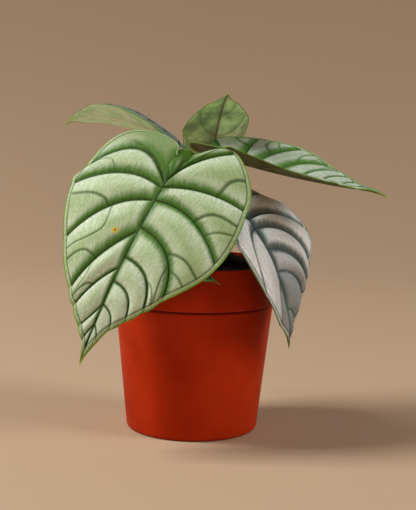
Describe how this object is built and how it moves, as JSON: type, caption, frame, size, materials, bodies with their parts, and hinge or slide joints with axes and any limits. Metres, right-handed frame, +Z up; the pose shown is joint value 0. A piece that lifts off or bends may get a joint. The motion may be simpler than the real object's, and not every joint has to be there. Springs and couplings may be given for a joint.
{
  "type": "potted silver dragon alocasia",
  "caption": "Small potted aroid: broad heart-shaped silver-green leaves with dark veins and drip tips on arched stalks, in a plain tapered nursery pot of soil that stands on its flat base.",
  "frame": {"origin": "centre of the pot's underside, on the surface that it stands on", "axes": "+Z up along the pot's axis; -Y is the front, where the largest leaf hangs; +X is to the right as seen from the front"},
  "size_m": [0.24, 0.1614, 0.2467],
  "materials": {
    "pot": "terracotta-coloured plastic, satin",
    "soil": null,
    "stem": "fleshy stem with papery leaf scars",
    "petiole": "fleshy leaf stalk, satin",
    "blade": "thick quilted leaf, silver green with dark green veins, satin"
  },
  "bodies": {
    "root": {"pot": "pot", "soil": "soil", "stem": "stem", "front_petiole": "petiole", "front_blade": "blade", "rear_left_petiole": "petiole", "rear_left_blade": "blade", "rear_petiole": "petiole", "rear_blade": "blade", "right_petiole": "petiole", "right_blade": "blade", "lower_right_petiole": "petiole", "lower_right_blade": "blade", "small_petiole": "petiole", "small_blade": "blade"}
  },
  "joints": []
}
